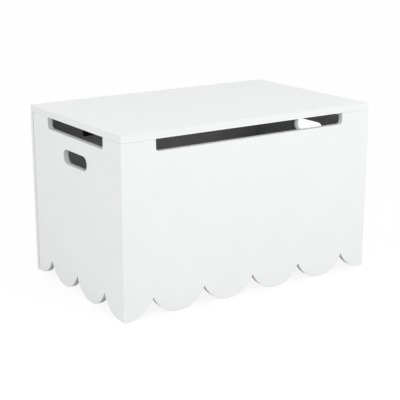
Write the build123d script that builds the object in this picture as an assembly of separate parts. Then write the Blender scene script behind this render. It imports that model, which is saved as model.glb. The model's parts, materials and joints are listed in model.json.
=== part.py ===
"""A painted wooden toy box whose lid lifts on two friction hinges.

Millimetres. The box stands on Z = 0, centred on the origin, with its front towards -Y.
"""
from build123d import *
import os
from math import asin, cos, sin

# Overall size
WIDTH = 800
DEPTH = 508
HEIGHT = 480

# Boards
WALL = 15
BACK_THICKNESS = 18
LID_THICKNESS = 18
LID_GAP = 0.4
BASE_THICKNESS = 9
BASE_CLEARANCE = 0.5
CORNER_RADIUS = 4
EASED_EDGE = 1.2
LID_CORNER_RADIUS = 6
LID_TOP_EDGE = 3
LID_BOTTOM_EDGE = 1
SEAM_WIDTH = 1.2
SEAM_DEPTH = 2.5

# Scalloped feet
FRONT_LOBES = 5
SIDE_LOBES = 3
SIDE_LOBE_INSET = 26.5
SCALLOP_RISE = 52
CUSP_RADIUS = 1.5

# Finger slots under the lid and hand holes in the sides
FRONT_SLOT_LENGTH = 602
SIDE_SLOT_LENGTH = 307
SLOT_DEPTH = 31.5
SLOT_RADIUS = 10
HAND_HOLE_LENGTH = 131
HAND_HOLE_HEIGHT = 39
HAND_HOLE_DROP = 89

# Battens under the base and posts behind the mitres
CLEAT_SIZE = 20
CLEAT_LIFT = 4
CLEAT_CHAMFER = 4
CLEAT_END_GAP = 1
CLEAT_SCREW_MARGIN = 60
FRONT_CLEAT_SCREWS = 4
SIDE_CLEAT_SCREWS = 3
POST_SIZE = 28
POST_CHAMFER = 9
POST_HEIGHT = 330
POST_SCREWS = 3
POST_SCREW_MARGIN = 35
POST_SCREW_STAGGER = 22

# Wood screws
SCREW_DIAMETER = 4
SCREW_HEAD_DIAMETER = 8
SCREW_TIP_LENGTH = 4
CLEAT_SCREW_BITE = 10
POST_SCREW_BITE = 10
BASE_SCREW_BITE = 16
HINGE_SCREW_DIAMETER = 3.5
HINGE_SCREW_HEAD_DIAMETER = 6.5
HINGE_SCREW_BITE = 12

# Knock-down joints between the back and the sides
CAM_DIAMETER = 15
CAM_DEPTH = 12
CAM_SETBACK = 34
CAM_LEVELS = 3
CAM_LOW = 120
CAM_TOP_MARGIN = 49
CAM_WALL = 2.5
CAM_KEY_WIDTH = 2
CAM_KEY_DEPTH = 2.5
BOLT_DIAMETER = 6
BOLT_NECK_DIAMETER = 4
BOLT_NECK_LENGTH = 6
BOLT_HEAD_LENGTH = 3
BOLT_BITE = 11
BOLT_HOLE_CLEARANCE = 0.5
DOWEL_DIAMETER = 8
DOWEL_LENGTH = 30
DOWEL_BITE = 10
DOWEL_CHAMFER = 1

# Pads under the lid
PAD_DIAMETER = 9
PAD_SEAT = 3
PAD_AIR = 0.1
FRONT_PAD_INSET = 50
REAR_PAD_INSET = 46

# Hinges
HINGE_SPREAD = 212
HINGE_WIDTH = 70
LEAF_THICKNESS = 2.5
LEAF_CORNER_RADIUS = 4
BODY_LEAF_DROP = 87
LID_LEAF_LENGTH = 74
AXIS_INSET = 8
AXIS_DROP = 12.5
BARREL_DIAMETER = 15
PIN_DIAMETER = 6
PIN_HEAD_DIAMETER = 9
PIN_HEAD_LENGTH = 1.5
SLEEVE_DIAMETER = 11
SLEEVE_CLEARANCE = 0.05
BODY_KNUCKLE_LENGTH = 15
KNUCKLE_GAP = 0.4
NOTCH_SIDE_CLEARANCE = 1
NOTCH_FLOOR_CLEARANCE = 0.5
LEAF_SCREW_SPREAD = 44
BODY_LEAF_SCREW_RISE = 40
BODY_LEAF_SCREW_FOOT = 14
LID_LEAF_SCREW_STEP = 40
LID_LEAF_SCREW_FOOT = 14

# Places that follow from the sizes above
CARCASS_TOP = HEIGHT - LID_THICKNESS - LID_GAP
LID_BOTTOM = HEIGHT - LID_THICKNESS
INNER_WIDTH = WIDTH - 2 * WALL
INNER_SIDE = INNER_WIDTH / 2
INNER_FRONT = WALL - DEPTH / 2
INNER_BACK = DEPTH / 2 - BACK_THICKNESS
INNER_DEPTH = INNER_BACK - INNER_FRONT
INNER_MIDDLE = (INNER_FRONT + INNER_BACK) / 2
SIDE_MIDDLE = (INNER_BACK - DEPTH / 2) / 2
SIDE_MIDPLANE = (WIDTH - WALL) / 2
FRONT_MIDPLANE = (WALL - DEPTH) / 2
CLEAT_BOTTOM = SCALLOP_RISE + CLEAT_LIFT
BASE_BOTTOM = CLEAT_BOTTOM + CLEAT_SIZE
BASE_TOP = BASE_BOTTOM + BASE_THICKNESS
HINGE_Y = DEPTH / 2 - AXIS_INSET
HINGE_Z = LID_BOTTOM - AXIS_DROP
BARREL_RADIUS = BARREL_DIAMETER / 2
LID_KNUCKLE_LENGTH = HINGE_WIDTH - 2 * (BODY_KNUCKLE_LENGTH + KNUCKLE_GAP)
LEAF_WEB_BOTTOM = HINGE_Z - BARREL_RADIUS
LEAF_WEB_FRONT = HINGE_Y - BARREL_RADIUS
CAM_Y = INNER_BACK - CAM_SETBACK
BOLT_SHOULDER_Y = CAM_Y + CAM_DIAMETER / 2 - CAM_WALL

# Turns that point a fastener's tip, which is at -Z, another way
TO_FRONT = Rotation(-90, 0, 0)
TO_BACK = Rotation(90, 0, 0)
TO_LEFT = Rotation(0, 90, 0)
UPWARDS = Rotation(180, 0, 0)


def spread(count, first, last):
    """Evenly spaced places from the first to the last."""
    return [first + (last - first) * i / (count - 1) for i in range(count)]


def midpoints(places):
    """The places half-way between neighbours."""
    return [(a + b) / 2 for a, b in zip(places, places[1:])]


def board_between(low, high):
    """A box that fills the space between two opposite corners."""
    size = [b - a for a, b in zip(low, high)]
    return Pos(*low) * Box(*size, align=(Align.MIN, Align.MIN, Align.MIN))


def scalloped_face(first, last, lobes):
    """A board's elevation, with round lobes along its foot and cusps between them."""
    pitch = (lobes[-1] - lobes[0]) / (len(lobes) - 1)
    radius = (pitch ** 2 / 4 + SCALLOP_RISE ** 2) / (2 * SCALLOP_RISE)
    half_turn = asin(pitch / 2 / radius) / 2
    reach = radius * sin(half_turn)
    lift = radius * (1 - cos(half_turn))
    cusps = [(middle, SCALLOP_RISE) for middle in midpoints(lobes)]
    foot_start = (lobes[0], 0)
    foot_end = (lobes[-1], 0)
    outline = [Line((first, 0), foot_start)]
    outline += [ThreePointArc(foot_start, (lobes[0] + reach, lift), cusps[0])]
    for lobe, left, right in zip(lobes[1:-1], cusps, cusps[1:]):
        outline += [ThreePointArc(left, (lobe, 0), right)]
    outline += [ThreePointArc(cusps[-1], (lobes[-1] - reach, lift), foot_end)]
    outline += [Polyline(foot_end, (last, 0), (last, CARCASS_TOP), (first, CARCASS_TOP), (first, 0))]
    face = make_face(outline)
    roots = face.vertices().filter_by_position(Axis.Y, lift, CARCASS_TOP - SLOT_DEPTH)
    return fillet(roots, CUSP_RADIUS)


def finger_slot(middle, length):
    """The notch in a board's top edge that leaves room for fingers under the lid."""
    return Pos(middle, CARCASS_TOP) * RectangleRounded(length, 2 * SLOT_DEPTH, SLOT_RADIUS)


def wall_plan(*points):
    """A board's plan between the given corners, rounded where the box's corners are."""
    plan = Polygon(*points, align=None) & RectangleRounded(WIDTH, DEPTH, CORNER_RADIUS)
    return extrude(plan, CARCASS_TOP)


def eased_board(face, thickness):
    """A board with its outer face on Y = 0, towards -Y, and soft edges round that face."""
    board = extrude(Plane.XZ.offset(-thickness) * face, thickness)
    rim = board.edges().filter_by_position(Axis.Y, 0, 0)
    return fillet(rim.filter_by(Axis.Z, reverse=True), EASED_EDGE)


def front_lobes():
    """Lobe centres along the front, from one side panel's middle to the other's."""
    return spread(FRONT_LOBES + 1, -SIDE_MIDPLANE, SIDE_MIDPLANE)


def side_lobes():
    """Lobe centres along a side, even about the middle of the box."""
    reach = DEPTH / 2 - SIDE_LOBE_INSET
    return spread(SIDE_LOBES + 1, -reach, reach)


def make_front_panel():
    """The front board, with a finger slot and ends mitred at 45 degrees."""
    face = scalloped_face(-WIDTH / 2, WIDTH / 2, front_lobes())
    face -= finger_slot(0, FRONT_SLOT_LENGTH)
    board = Pos(0, -DEPTH / 2, 0) * eased_board(face, WALL)
    return board & wall_plan(
        (-WIDTH / 2, -DEPTH / 2), (WIDTH / 2, -DEPTH / 2),
        (INNER_SIDE, INNER_FRONT), (-INNER_SIDE, INNER_FRONT),
    )


def make_left_side_panel():
    """The left board, with a finger slot, a hand hole, a mitred front end and a shadow line at the back."""
    face = scalloped_face(-DEPTH / 2, DEPTH / 2, side_lobes())
    face -= finger_slot(-SIDE_MIDDLE, SIDE_SLOT_LENGTH)
    hole_level = CARCASS_TOP - HAND_HOLE_DROP
    face -= Pos(-SIDE_MIDDLE, hole_level) * SlotOverall(HAND_HOLE_LENGTH, HAND_HOLE_HEIGHT)
    board = Pos(-WIDTH / 2, 0, 0) * Rotation(0, 0, -90) * eased_board(face, WALL)
    return board & wall_plan(
        (-WIDTH / 2, -DEPTH / 2), (-INNER_SIDE, INNER_FRONT),
        (-INNER_SIDE, INNER_BACK), (SEAM_DEPTH - WIDTH / 2, INNER_BACK),
        (SEAM_DEPTH - WIDTH / 2, INNER_BACK - SEAM_WIDTH), (-WIDTH / 2, INNER_BACK - SEAM_WIDTH),
    )


def lid_swing():
    """What the back's rear top edge loses, so that the lid's underside swings past it."""
    corner = board_between((-WIDTH / 2, HINGE_Y, HINGE_Z), (WIDTH / 2, DEPTH / 2, CARCASS_TOP))
    return corner - rod(2 * (CARCASS_TOP - HINGE_Z), -WIDTH / 2, WIDTH / 2)


def make_back_panel():
    """The back board, which laps the sides, notched for the barrels and rounded where the lid swings past."""
    face = scalloped_face(-WIDTH / 2, WIDTH / 2, front_lobes())
    board = Pos(0, DEPTH / 2, 0) * Rotation(0, 0, 180) * eased_board(face, BACK_THICKNESS)
    board &= wall_plan(
        (-WIDTH / 2, INNER_BACK), (WIDTH / 2, INNER_BACK),
        (WIDTH / 2, DEPTH / 2), (-WIDTH / 2, DEPTH / 2),
    )
    half_notch = HINGE_WIDTH / 2 + PIN_HEAD_LENGTH + NOTCH_SIDE_CLEARANCE
    notch_floor = HINGE_Z - BARREL_RADIUS - NOTCH_FLOOR_CLEARANCE
    for middle in (-HINGE_SPREAD, HINGE_SPREAD):
        board -= board_between(
            (middle - half_notch, INNER_BACK, notch_floor),
            (middle + half_notch, DEPTH / 2, CARCASS_TOP),
        )
    return board - lid_swing()


def make_lid_panel():
    """The lid board, level with the box all round, with soft edges."""
    plan = RectangleRounded(WIDTH, DEPTH, LID_CORNER_RADIUS)
    board = extrude(Pos(0, 0, LID_BOTTOM) * plan, LID_THICKNESS)
    board = fillet(board.faces().sort_by(Axis.Z)[-1].edges(), LID_TOP_EDGE)
    return fillet(board.faces().sort_by(Axis.Z)[0].edges(), LID_BOTTOM_EDGE)


def make_base_panel():
    """The floor of the box, which lies on the cleats."""
    side = INNER_SIDE - BASE_CLEARANCE
    return board_between(
        (-side, INNER_FRONT + BASE_CLEARANCE, BASE_BOTTOM),
        (side, INNER_BACK - BASE_CLEARANCE, BASE_TOP),
    )


def cleat(length):
    """A batten along X whose back lies on Y = 0, with its free lower edge taken off."""
    batten = board_between((-length / 2, -CLEAT_SIZE, CLEAT_BOTTOM), (length / 2, 0, BASE_BOTTOM))
    free_edge = batten.edges().filter_by(Axis.X).group_by(Axis.Z)[0].sort_by(Axis.Y)[0]
    return chamfer(free_edge, CLEAT_CHAMFER)


def corner_post():
    """The post behind the left front mitre."""
    post = board_between(
        (-INNER_SIDE, INNER_FRONT, BASE_TOP),
        (POST_SIZE - INNER_SIDE, INNER_FRONT + POST_SIZE, BASE_TOP + POST_HEIGHT),
    )
    free_edge = post.edges().filter_by(Axis.Z).group_by(Axis.X)[-1].sort_by(Axis.Y)[-1]
    return chamfer(free_edge, POST_CHAMFER)


def wood_screw(length, diameter, head_diameter):
    """A countersunk screw along -Z, with the top of its head on Z = 0."""
    shank = diameter / 2
    head = head_diameter / 2
    profile = Polygon(
        (0, 0), (head, 0), (shank, shank - head), (shank, SCREW_TIP_LENGTH - length), (0, -length),
        align=None,
    )
    return revolve(Plane.XZ * profile, Axis.Z)


def both_sides(pieces):
    """The pieces of the left side, and the same pieces mirrored to the right."""
    return pieces + [mirror(piece, about=Plane.YZ) for piece in pieces]


def rod(diameter, start, end):
    """A round rod along X on the hinge axis."""
    turned = Rotation(0, 90, 0) * Cylinder(diameter / 2, end - start)
    return Pos((start + end) / 2, HINGE_Y, HINGE_Z) * turned


def front_cleat_places():
    """Where the screws of the front and back cleats are, along X."""
    reach = INNER_SIDE - CLEAT_SCREW_MARGIN
    return spread(FRONT_CLEAT_SCREWS, -reach, reach)


def side_cleat_places():
    """Where the screws of a side cleat are, along Y."""
    margin = CLEAT_SIZE + CLEAT_SCREW_MARGIN
    return spread(SIDE_CLEAT_SCREWS, INNER_FRONT + margin, INNER_BACK - margin)


def make_cleat_screws():
    """The screws that hold the cleats to the walls."""
    screw = wood_screw(CLEAT_SIZE + CLEAT_SCREW_BITE, SCREW_DIAMETER, SCREW_HEAD_DIAMETER)
    level = CLEAT_BOTTOM + CLEAT_SIZE / 2
    front = [Pos(x, INNER_FRONT + CLEAT_SIZE, level) * TO_FRONT * screw for x in front_cleat_places()]
    back = [Pos(x, INNER_BACK - CLEAT_SIZE, level) * TO_BACK * screw for x in front_cleat_places()]
    left = [Pos(CLEAT_SIZE - INNER_SIDE, y, level) * TO_LEFT * screw for y in side_cleat_places()]
    return front + back + both_sides(left)


def make_base_screws():
    """The screws that hold the base to the cleats, half-way between the cleats' own screws."""
    screw = wood_screw(BASE_THICKNESS + BASE_SCREW_BITE, SCREW_DIAMETER, SCREW_HEAD_DIAMETER)
    inset = CLEAT_SIZE / 2
    places = [(x, INNER_FRONT + inset) for x in midpoints(front_cleat_places())]
    places += [(x, INNER_BACK - inset) for x in midpoints(front_cleat_places())]
    left = [Pos(inset - INNER_SIDE, y, BASE_TOP) * screw for y in midpoints(side_cleat_places())]
    return [Pos(x, y, BASE_TOP) * screw for x, y in places] + both_sides(left)


def make_post_screws():
    """The screws that hold the corner posts to the front and to the sides."""
    screw = wood_screw(POST_SIZE + POST_SCREW_BITE, SCREW_DIAMETER, SCREW_HEAD_DIAMETER)
    low = BASE_TOP + POST_SCREW_MARGIN
    high = BASE_TOP + POST_HEIGHT - POST_SCREW_MARGIN
    middle = (POST_SIZE - POST_CHAMFER) / 2
    screws = []
    for level in spread(POST_SCREWS, low, high - POST_SCREW_STAGGER):
        screws += [Pos(middle - INNER_SIDE, INNER_FRONT + POST_SIZE, level) * TO_FRONT * screw]
        raised = level + POST_SCREW_STAGGER
        screws += [Pos(POST_SIZE - INNER_SIDE, INNER_FRONT + middle, raised) * TO_LEFT * screw]
    return both_sides(screws)


def cam_levels():
    """The heights of the cam joints at a back corner."""
    return spread(CAM_LEVELS, CAM_LOW, CARCASS_TOP - CAM_TOP_MARGIN)


def cam_bolt():
    """A bolt along -Z, with its head's far face on Z = 0 and its tip in the back board."""
    tip = BOLT_SHOULDER_Y - BOLT_HEAD_LENGTH - INNER_BACK - BOLT_BITE
    neck_end = -BOLT_HEAD_LENGTH - BOLT_NECK_LENGTH
    head = BOLT_DIAMETER / 2
    neck = BOLT_NECK_DIAMETER / 2
    profile = Polygon(
        (0, 0), (head, 0), (head, -BOLT_HEAD_LENGTH), (neck, -BOLT_HEAD_LENGTH),
        (neck, neck_end), (head, neck_end), (head, tip), (0, tip),
        align=None,
    )
    return revolve(Plane.XZ * profile, Axis.Z)


def make_cam_bolts():
    """The bolts that stand in the back board and reach into the cams."""
    place = BOLT_SHOULDER_Y - BOLT_HEAD_LENGTH
    bolt = TO_BACK * cam_bolt()
    return both_sides([Pos(-SIDE_MIDPLANE, place, level) * bolt for level in cam_levels()])


def bolt_way(diameter, start, end):
    """A round way for a cam bolt along Y in the left side board."""
    way = Rotation(90, 0, 0) * Cylinder(diameter / 2 + BOLT_HOLE_CLEARANCE, end - start)
    return Pos(-SIDE_MIDPLANE, (start + end) / 2, 0) * way


def cam_blank():
    """A plain disc where a cam sits, flush with the left side board's inner face."""
    disc = Rotation(0, 90, 0) * Cylinder(CAM_DIAMETER / 2, CAM_DEPTH)
    return Pos(-INNER_SIDE - CAM_DEPTH / 2, CAM_Y, 0) * disc


def make_cam_discs():
    """The cams, each with a seat for the bolt's head, a way for its neck and a driver's cross."""
    disc = cam_blank() - bolt_way(BOLT_DIAMETER, CAM_Y, BOLT_SHOULDER_Y)
    disc -= bolt_way(BOLT_NECK_DIAMETER, BOLT_SHOULDER_Y, INNER_BACK)
    key_length = CAM_DIAMETER - 2 * CAM_WALL
    key_middle = Pos(-INNER_SIDE - CAM_KEY_DEPTH / 2, CAM_Y, 0)
    disc -= key_middle * Box(CAM_KEY_DEPTH, key_length, CAM_KEY_WIDTH)
    disc -= key_middle * Box(CAM_KEY_DEPTH, CAM_KEY_WIDTH, key_length)
    return both_sides([Pos(0, 0, level) * disc for level in cam_levels()])


def make_cam_holes():
    """What the left side board loses to its cams and their bolts."""
    hole = cam_blank() + bolt_way(BOLT_DIAMETER, CAM_Y, INNER_BACK)
    return [Pos(0, 0, level) * hole for level in cam_levels()]


def make_dowels():
    """The dowels between the back and the sides, half-way between the cams."""
    peg = Rotation(90, 0, 0) * Cylinder(DOWEL_DIAMETER / 2, DOWEL_LENGTH)
    peg = chamfer(peg.edges().filter_by(GeomType.CIRCLE), DOWEL_CHAMFER)
    place = INNER_BACK + DOWEL_BITE - DOWEL_LENGTH / 2
    return both_sides([Pos(-SIDE_MIDPLANE, place, level) * peg for level in midpoints(cam_levels())])


def make_lid_bumpers():
    """The pads that the lid closes on, each sunk in a wall's top edge."""
    height = PAD_SEAT + LID_GAP - PAD_AIR
    pad = Cylinder(PAD_DIAMETER / 2, height, align=(Align.CENTER, Align.CENTER, Align.MIN))
    seat = CARCASS_TOP - PAD_SEAT
    front = Pos(FRONT_PAD_INSET - WIDTH / 2, FRONT_MIDPLANE, seat) * pad
    rear = Pos(-SIDE_MIDPLANE, INNER_BACK - REAR_PAD_INSET, seat) * pad
    return both_sides([front, rear])


def leaf_screw():
    """A countersunk screw of a hinge leaf."""
    return wood_screw(LEAF_THICKNESS + HINGE_SCREW_BITE, HINGE_SCREW_DIAMETER, HINGE_SCREW_HEAD_DIAMETER)


def body_leaf_screws():
    """The screws of one body leaf, about X = 0."""
    low = CARCASS_TOP - BODY_LEAF_DROP + BODY_LEAF_SCREW_FOOT
    places = [(x, z) for x in (-0.5, 0.5) for z in (low, low + BODY_LEAF_SCREW_RISE)]
    screw = TO_BACK * leaf_screw()
    return [Pos(x * LEAF_SCREW_SPREAD, INNER_BACK - LEAF_THICKNESS, z) * screw for x, z in places]


def lid_leaf_screws():
    """The screws of one lid leaf, about X = 0."""
    front = LEAF_WEB_FRONT + LEAF_THICKNESS - LID_LEAF_LENGTH + LID_LEAF_SCREW_FOOT
    places = [(x, y) for x in (-0.5, 0.5) for y in (front, front + LID_LEAF_SCREW_STEP)]
    screw = UPWARDS * leaf_screw()
    return [Pos(x * LEAF_SCREW_SPREAD, y, LID_BOTTOM - LEAF_THICKNESS) * screw for x, y in places]


def body_leaf():
    """The leaf on the back board's inner face, with the two outer knuckles, about X = 0."""
    side = HINGE_WIDTH / 2
    web_top = LEAF_WEB_BOTTOM + LEAF_THICKNESS
    face = INNER_BACK - LEAF_THICKNESS
    leaf = board_between((-side, face, CARCASS_TOP - BODY_LEAF_DROP), (side, INNER_BACK, web_top))
    leaf = fillet(leaf.edges().filter_by(Axis.Y).group_by(Axis.Z)[0], LEAF_CORNER_RADIUS)
    for start, end in ((-side, BODY_KNUCKLE_LENGTH - side), (side - BODY_KNUCKLE_LENGTH, side)):
        leaf += board_between((start, face, LEAF_WEB_BOTTOM), (end, HINGE_Y, web_top))
        leaf += rod(BARREL_DIAMETER, start, end)
    return leaf - rod(PIN_DIAMETER, -side, side) - body_leaf_screws()


def lid_leaf():
    """The leaf under the lid, with the middle knuckle, about X = 0."""
    side = HINGE_WIDTH / 2
    knuckle = LID_KNUCKLE_LENGTH / 2
    web_back = LEAF_WEB_FRONT + LEAF_THICKNESS
    leaf = board_between(
        (-side, web_back - LID_LEAF_LENGTH, LID_BOTTOM - LEAF_THICKNESS),
        (side, web_back, LID_BOTTOM),
    )
    leaf = fillet(leaf.edges().filter_by(Axis.Z).group_by(Axis.Y)[0], LEAF_CORNER_RADIUS)
    leaf += board_between((-knuckle, LEAF_WEB_FRONT, HINGE_Z), (knuckle, web_back, LID_BOTTOM))
    leaf += rod(BARREL_DIAMETER, -knuckle, knuckle)
    return leaf - rod(SLEEVE_DIAMETER, -knuckle, knuckle) - lid_leaf_screws()


def friction_sleeve():
    """The sleeve in the middle knuckle that grips the pin, about X = 0."""
    knuckle = LID_KNUCKLE_LENGTH / 2
    bore = PIN_DIAMETER + 2 * SLEEVE_CLEARANCE
    return rod(SLEEVE_DIAMETER, -knuckle, knuckle) - rod(bore, -knuckle, knuckle)


def hinge_pin():
    """The pin through the knuckles, headed at both ends, about X = 0."""
    side = HINGE_WIDTH / 2
    pin = rod(PIN_DIAMETER, -side, side)
    pin += rod(PIN_HEAD_DIAMETER, side, side + PIN_HEAD_LENGTH)
    return pin + rod(PIN_HEAD_DIAMETER, -side - PIN_HEAD_LENGTH, -side)


def at_hinges(pieces):
    """The pieces of one hinge, moved to the left hinge and to the right one."""
    return [Pos(x, 0, 0) * piece for x in (-HINGE_SPREAD, HINGE_SPREAD) for piece in pieces]


def make_hinges():
    """Both hinges' leaves, pins and sleeves, by node name."""
    pieces = {
        "hinge_body_leaf": body_leaf(),
        "hinge_lid_leaf": lid_leaf(),
        "hinge_pin": hinge_pin(),
        "hinge_friction_sleeve": friction_sleeve(),
    }
    nodes = {}
    for name, piece in pieces.items():
        nodes[f"left_{name}"], nodes[f"right_{name}"] = at_hinges([piece])
    return nodes


def make_cleats():
    """The four cleats under the base, by node name."""
    long_cleat = cleat(INNER_WIDTH - 2 * CLEAT_END_GAP)
    short_cleat = cleat(INNER_DEPTH - 2 * (CLEAT_SIZE + CLEAT_END_GAP))
    left_cleat = Pos(-INNER_SIDE, INNER_MIDDLE, 0) * Rotation(0, 0, 90) * short_cleat
    return {
        "front_cleat": Pos(0, INNER_FRONT, 0) * Rotation(0, 0, 180) * long_cleat,
        "back_cleat": Pos(0, INNER_BACK, 0) * long_cleat,
        "left_cleat": left_cleat,
        "right_cleat": mirror(left_cleat, about=Plane.YZ),
    }


def make_parts():
    """Every piece of the toy box, by node name."""
    groups = {
        "cleat_screws": make_cleat_screws(),
        "base_screws": make_base_screws(),
        "corner_block_screws": make_post_screws(),
        "cam_bolts": make_cam_bolts(),
        "cam_discs": make_cam_discs(),
        "dowels": make_dowels(),
        "lid_bumpers": make_lid_bumpers(),
        "hinge_body_screws": at_hinges(body_leaf_screws()),
        "hinge_lid_screws": at_hinges(lid_leaf_screws()),
    }
    cleat_screws = groups["cleat_screws"]
    base_screws = groups["base_screws"]
    post_screws = groups["corner_block_screws"]
    sunk_in_walls = cleat_screws + post_screws + groups["lid_bumpers"]
    left_side = make_left_side_panel() - make_cam_holes() - groups["dowels"] - sunk_in_walls
    left_post = corner_post() - post_screws
    back_fasteners = groups["cam_bolts"] + groups["dowels"] + groups["hinge_body_screws"] + cleat_screws
    nodes = {
        "front_panel": make_front_panel() - sunk_in_walls,
        "left_side_panel": left_side,
        "right_side_panel": mirror(left_side, about=Plane.YZ),
        "back_panel": make_back_panel() - back_fasteners,
        "lid_panel": make_lid_panel() - groups["hinge_lid_screws"],
        "base_panel": make_base_panel() - base_screws,
        "left_corner_block": left_post,
        "right_corner_block": mirror(left_post, about=Plane.YZ),
    }
    for name, piece in make_cleats().items():
        nodes[name] = piece - cleat_screws - base_screws
    nodes.update(make_hinges())
    for name, pieces in groups.items():
        nodes[name] = Compound(children=pieces)
    return nodes


if __name__ == "__main__":
    os.makedirs("parts", exist_ok=True)
    for node, shape in make_parts().items():
        export_step(shape, f"parts/{node}.step")
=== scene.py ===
"""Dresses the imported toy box: satin white paint, black hinges, pale floor and soft studio light.

Metres, in the CAD frame: the front faces -Y, and the box stands on Z = 0.
"""
import json
from math import radians

import bpy
import numpy as np
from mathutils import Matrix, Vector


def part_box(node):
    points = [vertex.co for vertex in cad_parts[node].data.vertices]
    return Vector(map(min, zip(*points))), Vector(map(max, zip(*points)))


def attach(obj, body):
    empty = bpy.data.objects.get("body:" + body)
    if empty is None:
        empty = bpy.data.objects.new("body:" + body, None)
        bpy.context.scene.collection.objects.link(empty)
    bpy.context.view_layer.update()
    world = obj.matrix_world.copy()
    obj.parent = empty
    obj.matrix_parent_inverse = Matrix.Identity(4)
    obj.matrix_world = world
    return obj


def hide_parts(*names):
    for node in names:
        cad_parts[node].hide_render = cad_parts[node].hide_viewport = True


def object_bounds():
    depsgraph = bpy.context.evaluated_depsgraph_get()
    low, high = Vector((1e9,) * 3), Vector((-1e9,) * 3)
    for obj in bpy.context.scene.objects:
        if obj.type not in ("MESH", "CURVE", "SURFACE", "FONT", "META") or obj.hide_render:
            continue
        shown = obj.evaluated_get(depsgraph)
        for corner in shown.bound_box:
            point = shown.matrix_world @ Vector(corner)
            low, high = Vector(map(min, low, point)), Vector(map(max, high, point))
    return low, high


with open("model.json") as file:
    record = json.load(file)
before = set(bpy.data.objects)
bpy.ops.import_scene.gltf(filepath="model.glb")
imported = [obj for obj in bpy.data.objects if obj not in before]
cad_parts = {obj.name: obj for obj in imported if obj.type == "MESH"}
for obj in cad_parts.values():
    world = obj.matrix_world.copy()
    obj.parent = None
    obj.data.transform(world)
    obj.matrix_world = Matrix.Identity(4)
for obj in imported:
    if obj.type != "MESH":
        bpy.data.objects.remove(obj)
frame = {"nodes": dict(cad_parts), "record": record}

CAD_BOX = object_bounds()
NODES = frame["nodes"]
BODIES = {
    node: body
    for body, nodes in frame["record"]["behaviour"]["bodies"].items()
    for node in nodes
}

# The photograph's viewpoint
CAMERA_PLACE = (-1.581, -2.3491, 0.9987)
CAMERA_YAW = radians(33.92)
CAMERA_PITCH = radians(15.74)
CAMERA_LENS = 92.5
SENSOR_WIDTH = 36.0
VIEW_END = 100.0

# Studio: metres and watts, how much of each lamp shows as gloss, and the surround's strength
FRONT_LAMP_PLACE = (0.5, -2.6, 1.55)
FRONT_LAMP_SIZE = 1.4
FRONT_LAMP_POWER = 25.7
LEFT_LAMP_PLACE = (-2.8, -0.7, 0.9)
LEFT_LAMP_SIZE = 1.6
LEFT_LAMP_POWER = 15.0
LAMP_GLOSS = 0.3
FILL_STRENGTH = 0.882
FLOOR_REACH = 30.0

# How much of the floor looks plain white, so that only a faint shadow shows
WHITE_SHARE = 0.9

# Zones' limits in metres: how far a zone reaches past its faces, the bare lap's depth and inset,
# and how far above and below the lid's underside the edges with painted light reach
ZONE_MARGIN = 0.0005
LAP_DEPTH = 0.0003
LAP_INSET = 0.001
JOINT_REACH = 0.003

# Painted shade on the lid's rounded upper edges: the upward part of the normal, and the shade's
# share there
RIM_SLOPES = ((0.15, 0.0), (0.45, 1.0), (0.9, 1.0), (0.985, 0.0))

# Screws: diameters of their shanks in metres
BOARD_SCREW_SHANK = 0.004
LEAF_SCREW_SHANK = 0.0035

# Screw heads: rings on the flat top, points round each ring, and as shares of the head's radius the
# first and the last of these rings and the drop from the flat to the rim
HEAD_RINGS = 16
RING_POINTS = 48
FIRST_RING = 0.02
LAST_RING = 0.93
RIM_DROP = 0.08

# Screw points: length in shank diameters, and the end's width as a share of the shank's
POINT_LENGTH = 2.0
POINT_END = 0.02

# Driver's cross: half its bars' width and length as shares of the head's radius, how much of each
# its slopes take, and its depth as a share of the head's diameter
CROSS_WIDTH = 0.16
CROSS_LENGTH = 0.62
CROSS_WALL = 0.35
CROSS_RAMP = 0.5
CROSS_DEPTH = 0.3

# Points are the same if they are this near, in metres, or agree to this many decimals
SAME_PLACE = 1e-5
SAME_DIGITS = 6

# Finishes, as linear colours
PAINT_LIGHT = (0.822, 0.835, 0.829, 1.0)
PAINT_SHADE = (0.81, 0.823, 0.817, 1.0)
EDGE_LIGHT = (0.824, 0.836, 0.829, 1.0)
EDGE_SHADE = (0.802, 0.814, 0.806, 1.0)
# Painted light: the edges that meet under the lid are whiter, lifting the shade in that joint
SEAM_LIGHT_HIGH = (0.876, 0.888, 0.882, 1.0)
SEAM_LIGHT_LOW = (0.862, 0.874, 0.868, 1.0)
# Painted shade: the lid's rounded upper edges are darker, taking down the highlight the light gives
# them
LID_RIM_PAINTED_SHADE_HIGH = (0.76, 0.772, 0.767, 1.0)
LID_RIM_PAINTED_SHADE_LOW = (0.749, 0.761, 0.756, 1.0)
# Painted shade: the box's inside is greyer, darkening it the way shade does in the closed box
INSIDE_SHADE_LIGHT = (0.689, 0.7, 0.695, 1.0)
INSIDE_SHADE_DARK = (0.669, 0.681, 0.675, 1.0)
# Bare board where the back laps the sides, darker than bare board alone: its own colour plus
# painted shadow in the seam
LAP_BARE_AND_SHADE_LIGHT = (0.14, 0.12, 0.1, 1.0)
LAP_BARE_AND_SHADE_DARK = (0.1, 0.085, 0.07, 1.0)
PINE_LIGHT = (0.74, 0.56, 0.36, 1.0)
PINE_DARK = (0.55, 0.36, 0.19, 1.0)
BEECH_LIGHT = (0.76, 0.57, 0.39, 1.0)
BEECH_DARK = (0.62, 0.42, 0.26, 1.0)
OXIDE_LIGHT = (0.05, 0.05, 0.053, 1.0)
OXIDE_DARK = (0.028, 0.028, 0.03, 1.0)
COAT_LIGHT = (0.014, 0.014, 0.015, 1.0)
COAT_DARK = (0.007, 0.007, 0.008, 1.0)
STEEL_LIGHT = (0.62, 0.62, 0.63, 1.0)
STEEL_DARK = (0.42, 0.42, 0.44, 1.0)
ZINC_LIGHT = (0.66, 0.67, 0.69, 1.0)
ZINC_DARK = (0.47, 0.48, 0.51, 1.0)
SLEEVE_LIGHT = (0.78, 0.77, 0.73, 1.0)
SLEEVE_DARK = (0.7, 0.69, 0.65, 1.0)
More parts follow.
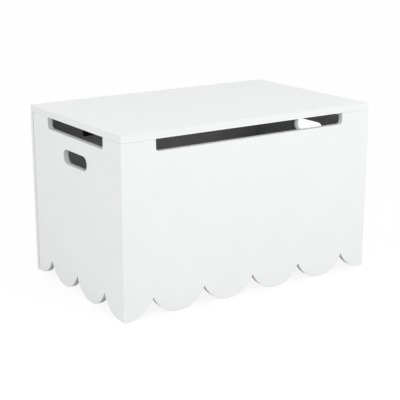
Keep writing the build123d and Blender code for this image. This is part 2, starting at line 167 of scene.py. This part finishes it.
PAD_LIGHT = (0.82, 0.82, 0.82, 1.0)
PAD_DARK = (0.72, 0.72, 0.72, 1.0)
FLOOR_SEEN = (0.98, 0.98, 0.98, 1.0)
FLOOR_BOUNCE = (0.6, 0.6, 0.6, 1.0)
WHITE = (1.0, 1.0, 1.0, 1.0)

# Patterns: each noise's scale per metre and its detail
CLOUD = (14.0, 3.0)
PEEL = (420.0, 2.0)
FIBRE = (900.0, 5.0)
PEBBLE = (900.0, 2.0)
PATCH = (60.0, 3.0)
STREAK = (700.0, 4.0)
MOTTLE = (220.0, 3.0)
SKIN = (1600.0, 2.0)

# Wood: the grain's scale per metre, how much finer its fibres are, and their detail
PINE_GRAIN = 90.0
BEECH_GRAIN = 240.0
FIBRES_PER_GRAIN = 9.0
GRAIN_DETAIL = 6.0
FIBRE_DETAIL = 3.0

# Scale of a pattern along X, Y and Z: the smaller, the more it is drawn out
EVEN = (1.0, 1.0, 1.0)
ALONG_X = (0.08, 1.0, 1.0)
ALONG_Y = (1.0, 0.08, 1.0)

# Reliefs: each bump's depth in metres and its strength
PAINT_RELIEF = (0.00012, 0.35)
WOOD_RELIEF = (0.0002, 0.5)
COAT_RELIEF = (0.0001, 0.5)
METAL_RELIEF = (0.00003, 0.4)
SKIN_RELIEF = (0.00004, 0.4)

# Roughness: the lowest and the highest of each finish, and how strongly paint mirrors
FACE_ROUGHNESS = (0.42, 0.56)
EDGE_ROUGHNESS = (0.55, 0.75)
WOOD_ROUGHNESS = (0.62, 0.8)
COAT_ROUGHNESS = (0.42, 0.58)
STEEL_ROUGHNESS = (0.25, 0.4)
CAST_ROUGHNESS = (0.38, 0.52)
OXIDE_ROUGHNESS = (0.3, 0.42)
ZINC_ROUGHNESS = (0.28, 0.42)
SLEEVE_ROUGHNESS = (0.4, 0.5)
PAD_ROUGHNESS = (0.45, 0.6)
PAINT_GLOSS = 0.4

# How squarely a board's faces and its cut edges look along the board's axis
FACE_SQUARENESS = 0.95
EDGE_SQUARENESS = 0.6

# Nodes that share a finish
SIDES = ("left_side_panel", "right_side_panel")
POSTS = ("left_corner_block", "right_corner_block")
CLEATS_ALONG_X = ("front_cleat", "back_cleat")
CLEATS_ALONG_Y = ("left_cleat", "right_cleat")
LEAVES = (
    "left_hinge_body_leaf", "right_hinge_body_leaf", "left_hinge_lid_leaf", "right_hinge_lid_leaf",
)
PINS = ("left_hinge_pin", "right_hinge_pin")
SLEEVES = ("left_hinge_friction_sleeve", "right_hinge_friction_sleeve")
CAMS = ("cam_bolts", "cam_discs")
LEAF_SCREWS = ("hinge_body_screws", "hinge_lid_screws")
BOARD_SCREWS = ("cleat_screws", "base_screws", "corner_block_screws")


def new_material(name):
    """A plain node material, with its tree, its principled shader and Object coordinates."""
    material = bpy.data.materials.new(name)
    material.use_nodes = True
    tree = material.node_tree
    shader = tree.nodes["Principled BSDF"]
    place = tree.nodes.new("ShaderNodeTexCoord").outputs["Object"]
    return material, tree, shader, place


def noise(tree, place, scale, detail, stretch=EVEN):
    """Noise of the given scale per metre, drawn out along an axis or even."""
    mapping = tree.nodes.new("ShaderNodeMapping")
    mapping.inputs["Scale"].default_value = stretch
    tree.links.new(place, mapping.inputs["Vector"])
    texture = tree.nodes.new("ShaderNodeTexNoise")
    texture.inputs["Scale"].default_value = scale
    texture.inputs["Detail"].default_value = detail
    tree.links.new(mapping.outputs["Vector"], texture.inputs["Vector"])
    return texture.outputs["Fac"]


def colour_between(tree, factor, dark, light, start=0.35, end=0.65):
    """A colour that goes from dark to light as the factor goes from start to end."""
    ramp = tree.nodes.new("ShaderNodeValToRGB")
    ramp.color_ramp.elements[0].position = start
    ramp.color_ramp.elements[0].color = dark
    ramp.color_ramp.elements[1].position = end
    ramp.color_ramp.elements[1].color = light
    tree.links.new(factor, ramp.inputs["Fac"])
    return ramp.outputs["Color"]


def range_between(tree, factor, low, high):
    """A number that goes from low to high as the factor goes from 0 to 1."""
    spread = tree.nodes.new("ShaderNodeMapRange")
    spread.inputs["To Min"].default_value = low
    spread.inputs["To Max"].default_value = high
    tree.links.new(factor, spread.inputs["Value"])
    return spread.outputs["Result"]


def add_bump(tree, shader, height, distance, strength):
    """Fine relief of the given depth in metres and strength."""
    bump = tree.nodes.new("ShaderNodeBump")
    bump.inputs["Distance"].default_value = distance
    bump.inputs["Strength"].default_value = strength
    tree.links.new(height, bump.inputs["Height"])
    tree.links.new(bump.outputs["Normal"], shader.inputs["Normal"])


def new_mix(tree, kind, factor):
    """The two inputs and the output of a mix of colours (RGBA) or numbers (FLOAT).

    The first input counts where the factor is 0 and the second where it is 1. The node has sockets
    of the same names for every kind, so they are found by their places.
    """
    mix = tree.nodes.new("ShaderNodeMix")
    mix.data_type = kind
    first, second, output = {"FLOAT": (2, 3, 0), "RGBA": (6, 7, 2)}[kind]
    tree.links.new(factor, mix.inputs[0])
    return mix.inputs[first], mix.inputs[second], mix.outputs[output]


def mixed(tree, kind, factor, first, second):
    """The first value where the factor is 0 and the second where it is 1."""
    first_input, second_input, output = new_mix(tree, kind, factor)
    tree.links.new(first, first_input)
    tree.links.new(second, second_input)
    return output


def computed(tree, operation, *values):
    """The result of a maths node on the values, each of them a socket or a plain number."""
    node = tree.nodes.new("ShaderNodeMath")
    node.operation = operation
    for socket, value in zip(node.inputs, values):
        if isinstance(value, bpy.types.NodeSocket):
            tree.links.new(value, socket)
        else:
            socket.default_value = value
    return node.outputs["Value"]


def split_up(tree, vector):
    """The X, Y and Z of a vector."""
    split = tree.nodes.new("ShaderNodeSeparateXYZ")
    tree.links.new(vector, split.inputs["Vector"])
    return split.outputs


def cut_edge(tree, place, axis):
    """1 on a board's cut edges and 0 on its two faces, which look along the given axis."""
    normal = split_up(tree, place.node.outputs["Normal"])
    spread = tree.nodes.new("ShaderNodeMapRange")
    spread.inputs["From Min"].default_value = FACE_SQUARENESS
    spread.inputs["From Max"].default_value = EDGE_SQUARENESS
    tree.links.new(computed(tree, "ABSOLUTE", normal[axis]), spread.inputs["Value"])
    return spread.outputs["Result"]


def within(tree, place, low, high):
    """1 in the box between two corners, and 0 outside it."""
    in_x, in_y, in_z = (
        computed(tree, "COMPARE", value, (start + end) / 2, (end - start) / 2)
        for value, start, end in zip(split_up(tree, place), low, high)
    )
    return computed(tree, "MULTIPLY", computed(tree, "MULTIPLY", in_x, in_y), in_z)


def mirrored(tree, place):
    """The place with every coordinate made positive."""
    fold = tree.nodes.new("ShaderNodeVectorMath")
    fold.operation = "ABSOLUTE"
    tree.links.new(place, fold.inputs[0])
    return fold.outputs["Vector"]


def inside_zone():
    """The lowest and highest corner of the box's inside, a little past its faces."""
    post_low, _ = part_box("left_corner_block")
    back_low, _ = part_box("back_panel")
    base_low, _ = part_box("base_panel")
    lid_low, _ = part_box("lid_panel")
    low = np.array([post_low.x, post_low.y, base_low.z])
    high = np.array([-post_low.x, back_low.y, lid_low.z])
    return low - ZONE_MARGIN, high + ZONE_MARGIN


def lap_zone():
    """The lowest and highest corner of the place where the back laps the right side's end."""
    side_low, side_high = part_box("right_side_panel")
    low = (side_low.x + LAP_INSET, side_high.y - LAP_DEPTH, side_low.z - LAP_DEPTH)
    high = (side_high.x + LAP_DEPTH, side_high.y + LAP_DEPTH, side_high.z + LAP_DEPTH)
    return low, high


def joint_zone():
    """The lowest and highest corner of the slab where the lid meets the walls."""
    lid_low, lid_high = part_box("lid_panel")
    low = (lid_low.x - ZONE_MARGIN, lid_low.y - ZONE_MARGIN, lid_low.z - JOINT_REACH)
    high = (lid_high.x + ZONE_MARGIN, lid_high.y + ZONE_MARGIN, lid_low.z + JOINT_REACH)
    return low, high


def upper_rim(tree, place):
    """1 on a board's rounded upper edges, and 0 on its faces and cut edges."""
    normal = split_up(tree, place.node.outputs["Normal"])
    ramp = tree.nodes.new("ShaderNodeValToRGB")
    stops = ramp.color_ramp.elements
    while len(stops) < len(RIM_SLOPES):
        stops.new(1.0)
    for stop, (slope, share) in zip(stops, RIM_SLOPES):
        stop.position = slope
        stop.color = (share, share, share, 1.0)
    tree.links.new(normal["Z"], ramp.inputs["Fac"])
    return ramp.outputs["Color"]


def satin_paint(name, axis, shade_inside=True, bare_and_shaded_lap=False, shaded_rim=False):
    """White sprayed paint on a fibreboard that faces along the axis.

    The faces have a faint orange peel and barely uneven colour and sheen. The cut edges drink
    more paint, so they are duller, and fine fibres stand up in them. The edges that meet under
    the lid are painted whiter, painted light that lifts the shade of that joint. The box's
    inside, but not the lid, is painted greyer as painted shade; the lid's rounded upper edges
    are painted darker, painted shade against their highlight; and where the back laps the sides
    it is bare board, painted darker still as the seam's painted shadow.
    """
    material, tree, shader, place = new_material(name)
    edge = cut_edge(tree, place, axis)
    cloud = noise(tree, place, *CLOUD)
    peel = noise(tree, place, *PEEL)
    fibre = noise(tree, place, *FIBRE)
    face_colour = colour_between(tree, cloud, PAINT_SHADE, PAINT_LIGHT)
    edge_colour = colour_between(tree, fibre, EDGE_SHADE, EDGE_LIGHT)
    face_roughness = range_between(tree, cloud, *FACE_ROUGHNESS)
    edge_roughness = range_between(tree, fibre, *EDGE_ROUGHNESS)
    colour = mixed(tree, "RGBA", edge, face_colour, edge_colour)
    roughness = mixed(tree, "FLOAT", edge, face_roughness, edge_roughness)
    # Painted shade: the box's inside is greyer than the outside, and as rough as the cut edges
    if shade_inside:
        inside = within(tree, place, *inside_zone())
        inside_shade_colour = colour_between(tree, cloud, INSIDE_SHADE_DARK, INSIDE_SHADE_LIGHT)
        colour = mixed(tree, "RGBA", inside, colour, inside_shade_colour)
        roughness = mixed(tree, "FLOAT", inside, roughness, edge_roughness)
    # Painted shade on the lid's rounded upper edges, against their highlight
    if shaded_rim:
        lid_rim_shade_colour = colour_between(tree, cloud, LID_RIM_PAINTED_SHADE_LOW, LID_RIM_PAINTED_SHADE_HIGH)
        colour = mixed(tree, "RGBA", upper_rim(tree, place), colour, lid_rim_shade_colour)
    # Painted light on the edges where the lid meets the walls, lifting the joint's shade
    joint = computed(tree, "MULTIPLY", edge, within(tree, place, *joint_zone()))
    seam_light_colour = colour_between(tree, fibre, SEAM_LIGHT_LOW, SEAM_LIGHT_HIGH)
    colour = mixed(tree, "RGBA", joint, colour, seam_light_colour)
    # Bare board in the lap, darkened further as painted shadow in the seam
    if bare_and_shaded_lap:
        bare_and_shade_colour = colour_between(tree, fibre, LAP_BARE_AND_SHADE_DARK, LAP_BARE_AND_SHADE_LIGHT)
        lap = within(tree, mirrored(tree, place), *lap_zone())
        colour = mixed(tree, "RGBA", lap, colour, bare_and_shade_colour)
    tree.links.new(colour, shader.inputs["Base Color"])
    tree.links.new(roughness, shader.inputs["Roughness"])
    add_bump(tree, shader, mixed(tree, "FLOAT", edge, peel, fibre), *PAINT_RELIEF)
    shader.inputs["Specular IOR Level"].default_value = PAINT_GLOSS
    return material


def grained_wood(name, dark, light, stretch, scale):
    """Bare wood: long streaks of grain along one axis, with a dry surface."""
    material, tree, shader, place = new_material(name)
    grain = noise(tree, place, scale, GRAIN_DETAIL, stretch)
    fibre = noise(tree, place, scale * FIBRES_PER_GRAIN, FIBRE_DETAIL, stretch)
    colour = colour_between(tree, grain, dark, light, start=0.3, end=0.7)
    tree.links.new(colour, shader.inputs["Base Color"])
    tree.links.new(range_between(tree, fibre, *WOOD_ROUGHNESS), shader.inputs["Roughness"])
    add_bump(tree, shader, fibre, *WOOD_RELIEF)
    return material


def black_coat():
    """Powder coat on steel: black, with a fine pebbled relief."""
    material, tree, shader, place = new_material("black_powder_coat")
    pebble = noise(tree, place, *PEBBLE)
    patch = noise(tree, place, *PATCH)
    tree.links.new(colour_between(tree, patch, COAT_DARK, COAT_LIGHT), shader.inputs["Base Color"])
    tree.links.new(range_between(tree, patch, *COAT_ROUGHNESS), shader.inputs["Roughness"])
    add_bump(tree, shader, pebble, *COAT_RELIEF)
    return material


def bare_metal(name, dark, light, roughness, stretch=EVEN):
    """Plated, cast or turned metal: streaks or specks in colour and gloss."""
    material, tree, shader, place = new_material(name)
    streak = noise(tree, place, *STREAK, stretch)
    tree.links.new(colour_between(tree, streak, dark, light), shader.inputs["Base Color"])
    tree.links.new(range_between(tree, streak, *roughness), shader.inputs["Roughness"])
    add_bump(tree, shader, streak, *METAL_RELIEF)
    shader.inputs["Metallic"].default_value = 1.0
    return material


def moulded(name, dark, light, roughness):
    """Moulded plastic or rubber: a soft mottle and a fine skin."""
    material, tree, shader, place = new_material(name)
    mottle = noise(tree, place, *MOTTLE)
    skin = noise(tree, place, *SKIN)
    tree.links.new(colour_between(tree, mottle, dark, light), shader.inputs["Base Color"])
    tree.links.new(range_between(tree, mottle, *roughness), shader.inputs["Roughness"])
    add_bump(tree, shader, skin, *SKIN_RELIEF)
    return material


def dress(names, material):
    """Gives the named nodes the material, in place of any other."""
    for name in names:
        mesh = NODES[name].data
        mesh.materials.clear()
        mesh.materials.append(material)


def dress_nodes():
    """The finish of every CAD node but the screws."""
    pine_along_x = grained_wood("pine_along_x", PINE_DARK, PINE_LIGHT, ALONG_X, PINE_GRAIN)
    pine_along_y = grained_wood("pine_along_y", PINE_DARK, PINE_LIGHT, ALONG_Y, PINE_GRAIN)
    beech = grained_wood("turned_beech", BEECH_DARK, BEECH_LIGHT, ALONG_Y, BEECH_GRAIN)
    steel = bare_metal("turned_steel", STEEL_DARK, STEEL_LIGHT, STEEL_ROUGHNESS, ALONG_X)
    dress(SIDES + POSTS, satin_paint("side_paint", "X"))
    dress(("front_panel",), satin_paint("front_paint", "Y"))
    dress(("back_panel",), satin_paint("back_paint", "Y", bare_and_shaded_lap=True))
    dress(("base_panel",), satin_paint("base_paint", "Z"))
    dress(("lid_panel",), satin_paint("lid_paint", "Z", shade_inside=False, shaded_rim=True))
    dress(CLEATS_ALONG_X, pine_along_x)
    dress(CLEATS_ALONG_Y, pine_along_y)
    dress(("dowels",), beech)
    dress(LEAVES, black_coat())
    dress(PINS, steel)
    dress(CAMS, bare_metal("cast_zinc", ZINC_DARK, ZINC_LIGHT, CAST_ROUGHNESS))
    dress(SLEEVES, moulded("acetal_sleeve", SLEEVE_DARK, SLEEVE_LIGHT, SLEEVE_ROUGHNESS))
    dress(("lid_bumpers",), moulded("soft_pad", PAD_DARK, PAD_LIGHT, PAD_ROUGHNESS))


def cross_depth(x, y, head):
    """Depth of a driver's cross at x, y, as a share of its full depth, in a head of that radius.

    Each of the two bars falls off steeply across its width and slowly along its length, and the
    deeper bar counts.
    """
    width = CROSS_WIDTH * head
    length = CROSS_LENGTH * head
    bars = []
    for along, across in ((x, y), (y, x)):
        steep = np.clip((width - np.abs(across)) / (CROSS_WALL * width) + 1.0, 0.0, 1.0)
        slow = np.clip((length - np.abs(along)) / (CROSS_RAMP * length), 0.0, 1.0)
        bars.append(steep * slow)
    return np.maximum(*bars)


def screw_grid(length, diameter, head_diameter):
    """Rings of points of one countersunk screw along -Z, with its head's top on Z = 0.

    The first rings widen from the head's middle to its rim and sink into the driver's cross. The
    next ones follow the cone, the shank and the point. Every ring is a circle about Z.
    """
    head, shank = head_diameter / 2, diameter / 2
    turns = np.linspace(0.0, 2 * np.pi, RING_POINTS, endpoint=False)
    top = head * np.linspace(FIRST_RING, LAST_RING, HEAD_RINGS)
    point_start = POINT_LENGTH * diameter - length
    radii = np.concatenate([top, [head, shank, shank, POINT_END * shank]])
    lows = np.concatenate([0 * top, [-RIM_DROP * head, shank - head, point_start, -length]])
    x = radii[:, None] * np.cos(turns)
    y = radii[:, None] * np.sin(turns)
    z = np.broadcast_to(lows[:, None], x.shape).copy()
    sunk = slice(HEAD_RINGS)
    z[sunk] -= CROSS_DEPTH * head_diameter * cross_depth(x[sunk], y[sunk], head)
    return np.stack([x, y, z], axis=-1)


def turned(grid, towards):
    """The grid with its +Z pointing along the given axis direction."""
    side = np.roll(towards, 1)
    return grid @ np.stack([side, np.cross(towards, side), towards])


def ring_faces(rings, count, start):
    """Outward quads between neighbouring rings of count points, and a cap at each end."""
    ring = np.arange(rings - 1)[:, None] * count
    here = np.arange(count)
    after = (here + 1) % count
    corners = [ring + here, ring + count + here, ring + count + after, ring + after]
    quads = np.stack(corners, axis=-1).reshape(-1, len(corners))
    last = (rings - 1) * count + here[::-1]
    return (quads + start).tolist() + [(here + start).tolist(), (last + start).tolist()]


def shells(node):
    """The separate shells of a CAD node, each as an array of its points.

    Every point starts with a number of its own, and the lowest number passes along the triangles
    until each shell has one.
    """
    mesh = NODES[node].data
    corners = np.array([mesh.vertices[i].co for face in mesh.polygons for i in face.vertices])
    points, order = np.unique(corners.round(SAME_DIGITS), axis=0, return_inverse=True)
    triangles = order.reshape(-1, 3)
    number = np.arange(len(points))
    settled = False
    while not settled:
        lowest = number[triangles].min(axis=1, keepdims=True)
        passed_on = number.copy()
        np.minimum.at(passed_on, triangles, lowest)
        settled = np.array_equal(passed_on, number)
        number = passed_on
    return [points[number == first] for first in np.unique(number)]


def screw_place(points):
    """The middle of a screw's head, its direction, the screw's length and its head's diameter.

    The screw lies along its longest side, and its point is the narrower of the two ends.
    """
    size = np.ptp(points, axis=0)
    axis = size.argmax()
    along = points[:, axis]
    ends = [points[np.abs(along - limit) < SAME_PLACE] for limit in (along.min(), along.max())]
    tip, head = sorted(ends, key=lambda end: np.ptp(end, axis=0).max())
    towards = np.zeros(3)
    towards[axis] = np.sign(head[0, axis] - tip[0, axis])
    return tip[0] + towards * size[axis], towards, size[axis], np.delete(size, axis).max()


def make_screws(node, shank, material):
    """One piece for all of a node's screws, each where its CAD solid is, with a driver's cross."""
    points, faces = [], []
    for solid in shells(node):
        place, towards, length, head = screw_place(solid)
        grid = screw_grid(length, shank, head)
        rings, count = grid.shape[:2]
        faces += ring_faces(rings, count, len(points) * rings * count)
        points.append(turned(grid, towards).reshape(-1, 3) + place)
    name = f"{node}_crossed"
    mesh = bpy.data.meshes.new(name)
    mesh.from_pydata(np.concatenate(points).tolist(), [], faces)
    mesh.materials.append(material)
    piece = bpy.data.objects.new(name, mesh)
    bpy.context.scene.collection.objects.link(piece)
    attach(piece, BODIES[node])
    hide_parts(node)


def make_all_screws():
    """The black screws of the hinge leaves, and the bright ones of the cleats, base and posts."""
    black = bare_metal("black_oxide", OXIDE_DARK, OXIDE_LIGHT, OXIDE_ROUGHNESS)
    bright = bare_metal("bright_zinc", ZINC_DARK, ZINC_LIGHT, ZINC_ROUGHNESS)
    for node in LEAF_SCREWS:
        make_screws(node, LEAF_SCREW_SHANK, black)
    for node in BOARD_SCREWS:
        make_screws(node, BOARD_SCREW_SHANK, bright)


def seen_directly(tree):
    """1 for rays from the camera and for mirrored or refracted ones, 0 for the rest."""
    path = tree.nodes.new("ShaderNodeLightPath")
    seen = path.outputs["Is Camera Ray"]
    for ray in ("Is Glossy Ray", "Is Transmission Ray"):
        seen = computed(tree, "MAXIMUM", seen, path.outputs[ray])
    return seen


def show_mix(tree, output_kind, factor, first, second):
    """Shows the first shader where the factor is 0 and the second where it is 1."""
    mix = tree.nodes.new("ShaderNodeMixShader")
    output = tree.nodes.new(output_kind)
    for value, socket in zip((factor, first, second), mix.inputs):
        tree.links.new(value, socket)
    tree.links.new(mix.outputs["Shader"], output.inputs["Surface"])


def make_floor():
    """A wide pale floor that looks white and keeps a faint shadow."""
    mesh = bpy.data.meshes.new("floor")
    signs = ((-1, -1), (1, -1), (1, 1), (-1, 1))
    corners = [(x * FLOOR_REACH, y * FLOOR_REACH, 0.0) for x, y in signs]
    mesh.from_pydata(corners, [], [(0, 1, 2, 3)])
    floor = bpy.data.objects.new("floor", mesh)
    bpy.context.scene.collection.objects.link(floor)
    material = bpy.data.materials.new("pale_floor")
    material.use_nodes = True
    tree = material.node_tree
    tree.nodes.clear()
    seen = seen_directly(tree)
    bounce_colour, seen_colour, colour = new_mix(tree, "RGBA", seen)
    bounce_colour.default_value = FLOOR_BOUNCE
    seen_colour.default_value = FLOOR_SEEN
    matt = tree.nodes.new("ShaderNodeBsdfDiffuse")
    tree.links.new(colour, matt.inputs["Color"])
    glow = tree.nodes.new("ShaderNodeEmission")
    glow.inputs["Color"].default_value = WHITE
    glow.inputs["Strength"].default_value = 1.0
    white = computed(tree, "MULTIPLY", seen, WHITE_SHARE)
    shaders = (matt.outputs["BSDF"], glow.outputs["Emission"])
    show_mix(tree, "ShaderNodeOutputMaterial", white, *shaders)
    mesh.materials.append(material)


def make_world():
    """An even white surround, white where it is seen and softer where it lights."""
    world = bpy.data.worlds.new("studio")
    bpy.context.scene.world = world
    world.use_nodes = True
    tree = world.node_tree
    tree.nodes.clear()
    shaders = []
    for strength in (FILL_STRENGTH, 1.0):
        background = tree.nodes.new("ShaderNodeBackground")
        background.inputs["Color"].default_value = WHITE
        background.inputs["Strength"].default_value = strength
        shaders.append(background.outputs["Background"])
    show_mix(tree, "ShaderNodeOutputWorld", seen_directly(tree), *shaders)


def make_lamp(name, place, size, power):
    """A square soft box that faces the middle of the part."""
    light = bpy.data.lights.new(name, "AREA")
    light.shape = "SQUARE"
    light.size = size
    light.energy = power
    light.specular_factor = LAMP_GLOSS
    lamp = bpy.data.objects.new(name, light)
    bpy.context.scene.collection.objects.link(lamp)
    lamp.location = place
    towards = (CAD_BOX[0] + CAD_BOX[1]) / 2 - lamp.location
    lamp.rotation_euler = towards.to_track_quat("-Z", "Y").to_euler()
    lamp.visible_camera = False


def make_lights():
    """A soft box above and before the front, and a weaker one beside the left end."""
    make_lamp("front_light", FRONT_LAMP_PLACE, FRONT_LAMP_SIZE, FRONT_LAMP_POWER)
    make_lamp("left_light", LEFT_LAMP_PLACE, LEFT_LAMP_SIZE, LEFT_LAMP_POWER)


def make_camera():
    """The camera at the photograph's viewpoint, turned right by its yaw and down by its pitch."""
    data = bpy.data.cameras.new("camera")
    data.lens = CAMERA_LENS
    data.sensor_width = SENSOR_WIDTH
    data.clip_end = VIEW_END
    camera = bpy.data.objects.new("camera", data)
    bpy.context.scene.collection.objects.link(camera)
    camera.location = CAMERA_PLACE
    camera.rotation_euler = (radians(90) - CAMERA_PITCH, 0.0, -CAMERA_YAW)
    bpy.context.scene.camera = camera


dress_nodes()
make_all_screws()
make_floor()
make_world()
make_lights()
make_camera()
bpy.context.scene.view_settings.view_transform = "Standard"
